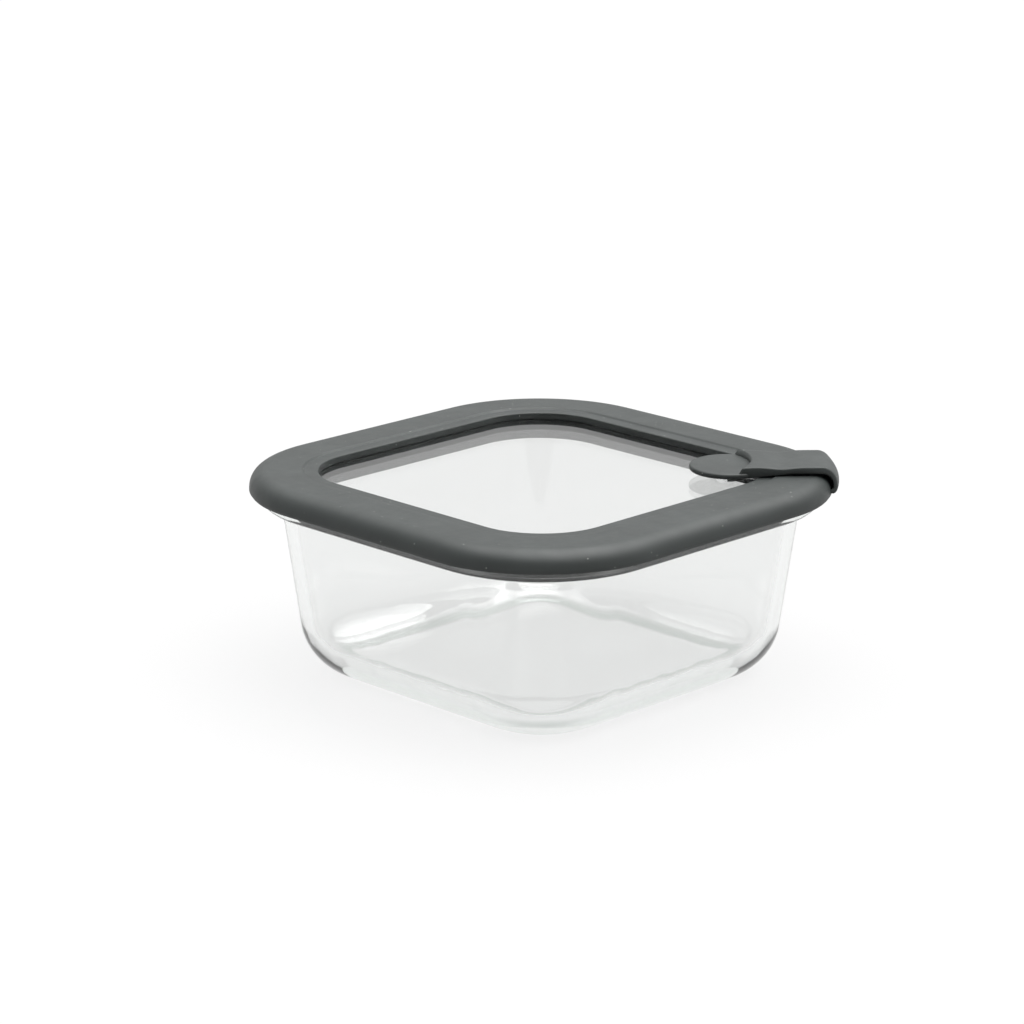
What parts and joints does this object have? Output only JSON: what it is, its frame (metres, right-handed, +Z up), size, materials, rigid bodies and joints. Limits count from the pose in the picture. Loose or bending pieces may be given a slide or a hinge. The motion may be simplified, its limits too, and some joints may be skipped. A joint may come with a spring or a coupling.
{
  "type": "square glass food container",
  "caption": "Square glass food container with a silicone-framed glass lid that lifts off and a corner strap with a round thumb pad over a vent.",
  "frame": {"origin": "middle of the dish's resting face", "axes": "+Z up, the four sides face along X and Y, and the vent strap crosses the +X +Y corner"},
  "size_m": [0.1686, 0.1686, 0.0757],
  "materials": {
    "dish_glass": "clear, polished",
    "pane_glass": "clear, polished",
    "frame_silicone": "matte grey silicone",
    "strap_silicone": "matte grey silicone"
  },
  "bodies": {
    "dish": {"glass_dish": "dish_glass"},
    "lid": {"lid_frame": "frame_silicone", "lid_pane": "pane_glass"},
    "strap": {"vent_strap": "strap_silicone"}
  },
  "joints": [
    {"name": "lid_lift", "type": "slide", "parent": "dish", "child": "lid", "axis": [0, 0, 1], "range_m": [0, 0.08]},
    {"name": "strap_flex", "type": "hinge", "parent": "lid", "child": "strap", "pos_m": [0.07014, 0.07014, 0.0668], "axis": [-0.7071, 0.7071, 0], "range_deg": [0, 110]}
  ]
}
